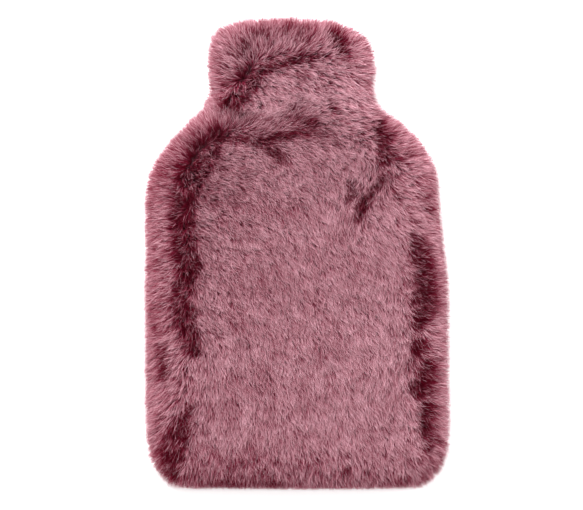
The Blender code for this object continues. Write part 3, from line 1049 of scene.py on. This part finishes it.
    def _shape(self, strands: bpy.types.Node, root: Any, ribbon: Any) -> bpy.types.Node:
        """Bends every strand along its arc, and writes its map.

        Args:
            strands: The plain strands.
            root: What each root carries.
            ribbon: What the plain strand's points carry.

        Returns:
            The node that ends with the bent strands.
        """
        add, total = self.add, self._sum
        along, across, leaving = ribbon["Along"], ribbon["Across"], root["Root lift"]
        bend = total(leaving, (root["Tip lift"], -1.0))
        bend = add("ShaderNodeMath", bend, self.LEAST_BEND, operation="MAXIMUM")
        angle = total(leaving, (total(0.0, (bend, along)), -1.0))
        radius = add("ShaderNodeMath", root["Length"], bend, operation="DIVIDE")
        sines, cosines = (
            [add("ShaderNodeMath", turn, operation=kind) for turn in (leaving, angle, root["Twist"])]
            for kind in ("SINE", "COSINE")
        )
        out = total(0.0, (total(sines[0], (sines[1], -1.0)), radius))
        rise = total(0.0, (total(cosines[1], (cosines[0], -1.0)), radius))
        square = total(0.0, (along, along))
        width = total(0.0, (self.given["Strand width"], root["Width"]))
        width = total(0.0, (across, width))
        width = total(width, (total(0.0, (width, square)), -self.TAPER))
        beside = add("ShaderNodeVectorMath", root["Grow"], root["Fall"], operation="CROSS_PRODUCT")
        flat, edge = (total(0.0, (width, shares[2])) for shares in (cosines, sines))
        curl = total(0.0, (total(0.0, (root["Curl"], square)), root["Length"]))
        bent = self._blend(
            (root["Root"], 1.0),
            (root["Fall"], total(out, (total(0.0, (edge, sines[1])), -1.0))),
            (root["Grow"], total(rise, (edge, cosines[1]))),
            (beside, total(flat, (curl, 1.0))),
            (root["Pull"], add("ShaderNodeMath", along, self.PULL_POWER, operation="POWER")),
        )
        over = add("ShaderNodeSeparateXYZ", bent).outputs
        height = add("ShaderNodeMath", over["Z"], root["Rest"], operation="MAXIMUM")
        foot = total(self.given["Foot"], (root["Rest"], self.FOOT_RAGGED))
        level = add("ShaderNodeMath", over["Y"], foot, operation="MAXIMUM")
        placed = add("ShaderNodeCombineXYZ", over["X"], level, height)
        laid = add("GeometryNodeSetPosition", {"Geometry": strands, "Position": placed})
        smooth = add("GeometryNodeSetShadeSmooth", {"Geometry": laid})
        margin = self.MAP_MARGIN
        tone = total(margin, (root["Tone"], 1 - 2 * margin), (across, self.TONE_SPREAD))
        up = total(0.0, (along, root["Shown"]))
        up = add("ShaderNodeMath", up, 1 - margin, operation="MINIMUM")
        on_map = add("ShaderNodeCombineXYZ", tone, up, 0.0)
        return add(
            "GeometryNodeStoreNamedAttribute",
            {"Geometry": smooth, "Name": BAKE_MAP, "Value": on_map},
            data_type="FLOAT2",
            domain="CORNER",
        )

    def grow(
        self,
        name: str,
        scalp: bpy.types.Object,
        size: PileSize,
        finish: bpy.types.Material,
        band: tuple[float, float],
    ) -> bpy.types.Object:
        """Grows the pile of one band of a scalp, as a plain mesh.

        Args:
            name: The new piece's name.
            scalp: The scalp, with the pile's fields on it.
            size: The pile's sizes.
            finish: The strands' material.
            band: The lowest and highest y that roots may have, in millimetres.

        Returns:
            The pile, at the origin.
        """
        modifier = scalp.modifiers.new("pile", "NODES")
        modifier.node_group = self.tree
        sockets = {s.name: s.identifier for s in self.tree.interface.items_tree}
        for socket, value in {**size.inputs(band), "Seed": size.seed, "Finish": finish}.items():
            modifier[sockets[socket]] = value
        made = applied(name, scalp)
        triangles = sum(len(p.vertices) - 2 for p in made.data.polygons)
        LOG.info("%s: %d strands, %d triangles", name, triangles // self.TRIANGLES, triangles)
        return made


def applied(name: str, scalp: bpy.types.Object) -> bpy.types.Object:
    """Applies a scalp's modifiers to a copy of it, and takes them off the scalp.

    Args:
        name: The copy's name.
        scalp: The scalp.

    Returns:
        The copy, a plain mesh without the pile's fields.
    """
    scalp.update_tag()
    shown = bpy.context.evaluated_depsgraph_get()
    mesh = bpy.data.meshes.new_from_object(scalp.evaluated_get(shown), depsgraph=shown)
    scalp.modifiers.clear()
    for field_name in [a.name for a in mesh.attributes if a.name.startswith("pile_")]:
        mesh.attributes.remove(mesh.attributes[field_name])
    mesh.name = name
    return linked(name, mesh)


# ---- The panels ----


def fill(
    edge: np.ndarray, spacing: float, margin: float = 0.6
) -> tuple[np.ndarray, list[list[int]]]:
    """Fills a closed loop with a triangular lattice.

    Args:
        edge: The loop's points, anticlockwise.
        spacing: The distance between the lattice's points.
        margin: How far inside the loop the lattice starts, as a share of that.

    Returns:
        The loop's points and then the lattice's, and the triangles that join them.
    """
    low, high = edge.min(axis=0), edge.max(axis=0)
    rows = np.arange(low[1], high[1], spacing * math.sqrt(0.75))
    places = np.arange(low[0], high[0], spacing)
    lattice = np.array([(x + (j % 2) * spacing / 2, y) for j, y in enumerate(rows) for x in places])
    flat = np.vstack([edge, lattice[depth_inside(lattice, edge) > margin * spacing]])
    count, inside_only, nearness = len(edge), 1, 1e-6
    sides = [(i, (i + 1) % count) for i in range(count)]
    _, _, patch, kept, _, _ = delaunay_2d_cdt(
        [Vector(p) for p in flat], sides, [], inside_only, nearness
    )
    return flat, [[kept[i][0] for i in triangle] for triangle in patch]


@dataclass
class Panel:
    """A cut panel of faux fur: its backing cloth, and the pile that grows out of it.

    Attributes:
        node: The CAD node that the panel stands for.
        name: What its pieces' names start with.
        cut: The width and length of the cloth that it was cut from, in metres.
        outline: The cover's outline, out to the tips of the pile.
        cloth: The backing's thickness.
        pile: The pile's sizes.
        bands: The pile's pieces by name, each with the lowest and highest y of its roots.
    """

    node: str
    name: str
    cut: tuple[float, float]
    outline: Outline = field(default_factory=Outline)
    cloth: float = 1.8
    pile: PileSize = field(default_factory=PileSize)
    bands: dict[str, tuple[float, float]] = field(default_factory=lambda: {"pile": EVERYWHERE})

    def scalp(self) -> bpy.types.Object:
        """Makes the surface that the pile grows out of, with the pile's fields on it."""
        raise NotImplementedError

    def groomed(
        self, points: np.ndarray, faces: list[Iterable[int]], comb: Callable[..., dict[str, Any]]
    ) -> bpy.types.Object:
        """Makes a scalp and writes the pile's fields on its points.

        Args:
            points: The scalp's points.
            faces: Its faces.
            comb: What gives the fields by name, without "pile_", from the points' normals.

        Returns:
            The scalp.
        """
        made = new_mesh(f"{self.name}_scalp", points, faces)
        count = len(points)
        normals = np.zeros(count * 3)
        made.data.vertices.foreach_get("normal", normals)
        for name, values in comb(normals.reshape(-1, 3)).items():
            kind = PileTree.FIELDS[name]
            part, shape = ("vector", (count, 3)) if kind == "FLOAT_VECTOR" else ("value", (count,))
            whole = np.broadcast_to(np.asarray(values, np.float32), shape)
            attribute = made.data.attributes.new(f"pile_{name}", kind, "POINT")
            attribute.data.foreach_set(part, whole.ravel())
        return made

    def build(self, tree: PileTree, fur: bpy.types.Material, backing: bpy.types.Material) -> None:
        """Args:
            tree: The node tree that grows the pile.
            fur: The strands' material.
            backing: The cloth's material.
        """
        scalp = self.scalp()
        pile = [
            tree.grow(f"{self.name}_{band}", scalp, self.pile, fur, ends)
            for band, ends in self.bands.items()
        ]
        solid = scalp.modifiers.new("cloth", "SOLIDIFY")
        solid.thickness, solid.offset = self.cloth * MM, -1.0
        cloth = applied(f"{self.name}_backing", scalp)
        cloth.data.materials.clear()
        cloth.data.materials.append(backing)
        bpy.data.objects.remove(scalp)
        for piece in (cloth, *pile):
            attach(piece, "root")
            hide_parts(self.node)


@dataclass(frozen=True)
class Lie:
    """How the front's pile lies, from the walls over the rounds to the crown.

    Attributes:
        length: The pile's length.
        root_lift: How steeply it leaves the cloth, in degrees, and how much more in a parting.
        tip_lift: How steeply its tips stand on the walls and on the crown.
        droop: How far the walls' pile hangs.
        crown: How level the cloth is where the crown's lie starts, and where it is whole.
        parting_level: How level it is where partings start to show, and where they are whole.
        upright_level: How level it is where loose pile starts to grow up, and where it all does.
        frost_level: How level it is where the walls' frost ends, and where it is whole.
        head: The y where the head's looser pile starts, and where it is whole.
        side: The depth inside the outline where the sides' looser pile ends, and is whole.
        ruffle: How loose the pile is anywhere, and how much more at the head and the sides.
        upright: How far loose pile and parted pile grow straight up rather than square to the
            cloth.
        wall_gather: How far it draws together on the walls.
        tone: How pale it is on the walls, and how much more on the crown and on the head.
        tone_across: How much paler it gets from the middle to the right, and over what distance.
        frost: How much further down the walls' pale tips reach.
    """

    length: float = 14.8
    root_lift: tuple[float, float] = (80.0, 6.0)
    tip_lift: tuple[float, float] = (42.0, 39.0)
    droop: float = 0.45
    crown: tuple[float, float] = (0.25, 0.95)
    parting_level: tuple[float, float] = (0.1, 0.5)
    upright_level: tuple[float, float] = (0.1, 0.8)
    frost_level: tuple[float, float] = (0.6, 0.1)
    head: tuple[float, float] = (95.0, 115.0)
    side: tuple[float, float] = (46.0, 30.0)
    ruffle: tuple[float, float, float] = (0.1, 0.7, 0.6)
    upright: tuple[float, float] = (0.35, 0.9)
    wall_gather: float = 0.5
    tone: tuple[float, float, float] = (0.38, 0.35, 0.28)
    tone_across: tuple[float, float] = (0.055, 50.0)
    frost: float = 0.45


@dataclass
class FrontPanel(Panel):
    """The front panel: the face, the crown and the walls.

    Attributes:
        groom: How its pile is combed.
        lie: How its pile lies.
        crown: The height of the pile's top along the middle, as rows of y and z.
        crown_fall: How far the top falls from the middle to the edge.
        crown_half_width: The half width over which it falls.
        pile_height: The pile's height on the crown.
        wall_rings: The wall's rings, as inset from the outline and height.
        shoulder_radius: The width of the round between wall and crown.
        shoulder_rings: Where that round is cut, measured in from the wall.
        lattice: The spacing of the crown's points.
    """

    groom: Groom = field(default_factory=Groom)
    lie: Lie = field(default_factory=Lie)
    crown: tuple[tuple[float, float], ...] = (
        (-190, 63), (-130, 67.5), (-40, 71), (40, 70.5), (88, 65), (112, 59), (140, 62), (190, 59),
    )  # fmt: skip
    crown_fall: float = 6.0
    crown_half_width: float = 112.0
    pile_height: float = 12.0
    wall_rings: tuple[tuple[float, float], ...] = (
        (15.0, 5.0), (13.0, 8.0), (11.6, 13.0), (10.7, 20.0), (10.4, 27.0),
    )  # fmt: skip
    shoulder_radius: float = 28.0
    shoulder_rings: tuple[float, ...] = (0.3, 1.0, 2.2, 4.2)
    lattice: float = 3.2

    def cloth_height(self, points: np.ndarray, depths: np.ndarray) -> np.ndarray:
        """Works out how high the cloth lies, over the round and the crown.

        Args:
            points: Rows of x and y.
            depths: How far inside the wall each of them is.

        Returns:
            Each point's height.
        """
        rows = np.array(self.crown)
        top = np.interp(points[:, 1], rows[:, 0], rows[:, 1]) - self.pile_height
        top -= self.crown_fall * (points[:, 0] / self.crown_half_width) ** 2
        share = np.clip(depths / self.shoulder_radius, 0, 1)
        foot = self.wall_rings[-1][1]
        return foot + (top - foot) * np.sqrt(1 - (1 - share) ** 2)

    def scalp(self) -> bpy.types.Object:
        """Makes the walls' rings and fills the crown inside them.

        Returns:
            The scalp.
        """
        loop = self.outline.loop()
        wall, count = self.wall_rings[-1][0], len(loop)
        rings = [
            np.column_stack([inset(loop, depth), np.full(count, height)])
            for depth, height in self.wall_rings
        ]
        edge = rings[-1][:, :2]
        for depth in self.shoulder_rings:
            ring = inset(loop, wall + depth)
            rings.append(np.column_stack([ring, self.cloth_height(ring, np.full(count, depth))]))
        base = (len(rings) - 1) * count
        faces = [
            (k + i, k + (i + 1) % count, k + count + (i + 1) % count, k + count + i)
            for k in range(0, base, count)
            for i in range(count)
        ]
        flat, patch = fill(rings[-1][:, :2], self.lattice)
        inner = flat[count:]
        heights = self.cloth_height(inner, depth_inside(inner, edge))
        points = np.vstack([*rings, np.column_stack([inner, heights])])
        faces += [[base + i for i in triangle] for triangle in patch]
        return self.groomed(points, faces, partial(self._comb, points[:, :2], loop))

    def _comb(self, points: np.ndarray, loop: np.ndarray, normals: np.ndarray) -> dict[str, Any]:
        """Settles how the pile stands.

        Args:
            points: The scalp's points, as rows of x and y.
            loop: The cover's outline.
            normals: The points' normals.

        Returns:
            The pile's fields by name.
        """
        lie, level = self.lie, np.clip(normals[:, 2], 0, 1)
        crown = smooth_step(*lie.crown, level)
        head = smooth_step(*lie.head, points[:, 1])
        side = smooth_step(*lie.side, depth_inside(points, loop))
        ruffle = np.clip(lie.ruffle[0] + lie.ruffle[1] * head + lie.ruffle[2] * side, 0, 1)
        opened = self.groom.openness(points) * smooth_step(*lie.parting_level, level)
        loose, parted = lie.upright
        grow = normals * (1 - parted * opened)[:, None]
        grow[:, 2] += loose * ruffle * smooth_step(*lie.upright_level, level) + parted * opened
        right, reach = lie.tone_across
        walls, slope = lie.tip_lift
        return {
            "grow": grow,
            "fall": np.column_stack([self.groom.falls(points), -lie.droop * (1 - level)]),
            "length": lie.length * MM,
            "root": np.radians(lie.root_lift[0] + lie.root_lift[1] * opened),
            "tip": np.radians(walls + (slope - walls) * crown),
            "ruffle": ruffle,
            "gather": lie.wall_gather + (1 - lie.wall_gather) * crown,
            "tone": lie.tone[0]
            + (lie.tone[1] + lie.tone[2] * head) * crown
            + right * np.clip(points[:, 0] / reach, -1, 1),
            "open": opened,
            "frost": lie.frost * smooth_step(*lie.frost_level, level),
        }


@dataclass
class BackPanel(Panel):
    """One of the two panels of the envelope back, with its pile pressed flat under the cover.

    Attributes:
        pile: The pile's sizes: fewer and broader strands, because they show only from below.
        ends: The y of its lower and its upper edge.
        rim_inset: How far it is set in from the outline.
        height: The cloth's height over the table.
        rise: How far it climbs behind the other panel.
        climb: The y where it starts to climb, and where it has climbed.
        lattice: The spacing of its points.
        length: The pile's length.
        lifts: How steeply the pile leaves the cloth and how steeply its tips stand, in degrees.
        ruffle: How loose it is.
        tone: How pale it is.
    """

    pile: PileSize = field(
        default_factory=lambda: PileSize(strands_per_mm2=0.72, width=0.8, tuft=3.2, seed=29)
    )
    ends: tuple[float, float] = EVERYWHERE
    rim_inset: float = 15.5
    height: float = 5.5
    rise: float = 0.0
    climb: tuple[float, float] = (-36.0, -15.0)
    lattice: float = 6.0
    length: float = 17.0
    lifts: tuple[float, float] = (34.0, 3.0)
    ruffle: float = 0.3
    tone: float = 0.45

    def scalp(self) -> bpy.types.Object:
        """Cuts the back between the panel's two edges and fills it.

        Returns:
            The scalp.
        """
        rim = evenly(inset(self.outline.loop(), self.rim_inset), self.lattice)
        low, high = self.ends
        inside = (rim[:, 1] > low) & (rim[:, 1] < high)
        rim[:, 1] = np.clip(rim[:, 1], low, high)
        edge = rim[inside | np.roll(inside, 1) | np.roll(inside, -1)]
        flat, patch = fill(edge, self.lattice)
        rise = smooth_step(*self.climb, flat[:, 1]) * self.rise
        points = np.column_stack([flat, self.height + rise])
        return self.groomed(points, [triangle[::-1] for triangle in patch], self._comb)

    def _comb(self, normals: np.ndarray) -> dict[str, Any]:
        """Returns the pile's fields by name: it all falls to the foot."""
        root, tip = (math.radians(lift) for lift in self.lifts)
        return {
            "grow": normals, "fall": (0.0, -1.0, 0.0), "length": self.length * MM, "root": root,
            "tip": tip, "ruffle": self.ruffle, "gather": 1.0, "tone": self.tone, "open": 0.0,
            "frost": 0.0,
        }  # fmt: skip


# ---- The studio ----


class Lamp(NamedTuple):
    """A square soft lamp: its place and side, in metres, and its power, in watts."""

    name: str
    place: tuple[float, float, float]
    side: float
    power: float


@dataclass
class Studio:
    """A white table, soft light and a camera straight above the cover.

    Attributes:
        aim: The point over which the camera hangs.
        camera_height: The camera's height over the table, in metres.
        aim_height: The height at which the view is as wide as it says, in metres.
        view_width: The width that the camera takes in there, in metres.
        view_depth: The nearest and the farthest that it sees, in metres.
        sensor: The width of the camera's sensor.
        table: The table's side, in metres.
        room: The strength of the light that the pale room gives from all sides.
        lamps: The lamps, which all shine at the cover.
    """

    aim: tuple[float, float] = (-3.8, -0.4)
    camera_height: float = 2.03
    aim_height: float = 0.03
    view_width: float = 0.4446
    view_depth: tuple[float, float] = (0.1, 20.0)
    sensor: float = 36.0
    table: float = 6.0
    room: float = 0.6
    lamps: tuple[Lamp, ...] = (
        Lamp("key_light", (-0.5, 1.1, 1.5), 0.9, 60.0),
        Lamp("fill_light", (0.6, 0.2, 1.7), 1.2, 16.0),
    )

    def build(self) -> None:
        """Builds the table, the lights and the camera."""
        scene = bpy.context.scene
        scene.view_settings.view_transform = "Standard"
        scene.view_settings.look = "None"
        half = self.table / 2 / MM
        corners = ((-half, -half, 0), (half, -half, 0), (half, half, 0), (-half, half, 0))
        table = new_mesh("studio_table", np.array(corners, float), [(0, 1, 2, 3)])
        table.data.materials.append(TableFinish().material())
        world = bpy.data.worlds.new("pale_room")
        world.use_nodes = True
        world.node_tree.nodes.clear()
        add = partial(add_node, world.node_tree)
        glow = add("ShaderNodeBackground", {"Color": linear("#FFFFFF"), "Strength": self.room})
        add("ShaderNodeOutputWorld", glow)
        scene.world = world
        for lamp in self.lamps:
            light = bpy.data.lights.new(lamp.name, "AREA")
            light.size, light.energy = lamp.side, lamp.power
            made = linked(lamp.name, light)
            made.location = lamp.place
            made.rotation_euler = (-Vector(lamp.place)).to_track_quat("-Z", "Y").to_euler()
        camera = bpy.data.cameras.new("camera")
        camera.sensor_width = self.sensor
        camera.lens = self.sensor * (self.camera_height - self.aim_height) / self.view_width
        camera.clip_start, camera.clip_end = self.view_depth
        scene.camera = linked("camera", camera)
        scene.camera.location = (self.aim[0] * MM, self.aim[1] * MM, self.camera_height)
        LOG.info("studio: table, %d lamps and camera", len(self.lamps))


def main() -> None:
    logging.basicConfig(level=logging.INFO, format="%(message)s")
    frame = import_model()
    LOG.info("frame: %s", ", ".join(sorted(frame["nodes"])))
    Studio().build()
    fur, backing = FauxFurFinish().material(), KnittedBackingFinish().material()
    tree = PileTree()
    low, high = EVERYWHERE
    front_bands = {
        "pile_foot": (low, -105.2), "pile_middle": (-105.2, -20.5),
        "pile_shoulders": (-20.5, 64.3), "pile_head": (64.3, high),
    }  # fmt: skip
    for panel in (
        FrontPanel("front_panel", "front", cut=(0.34, 0.47), bands=front_bands),
        BackPanel("back_panel_upper", "back_upper", cut=(0.205, 0.18), ends=(-10.0, high)),
        BackPanel("back_panel_lower", "back_lower", cut=(0.205, 0.225), ends=(low, 44.0), rise=17.0),
    ):
        panel.build(tree, fur, backing)


if __name__ == "__main__":
    main()
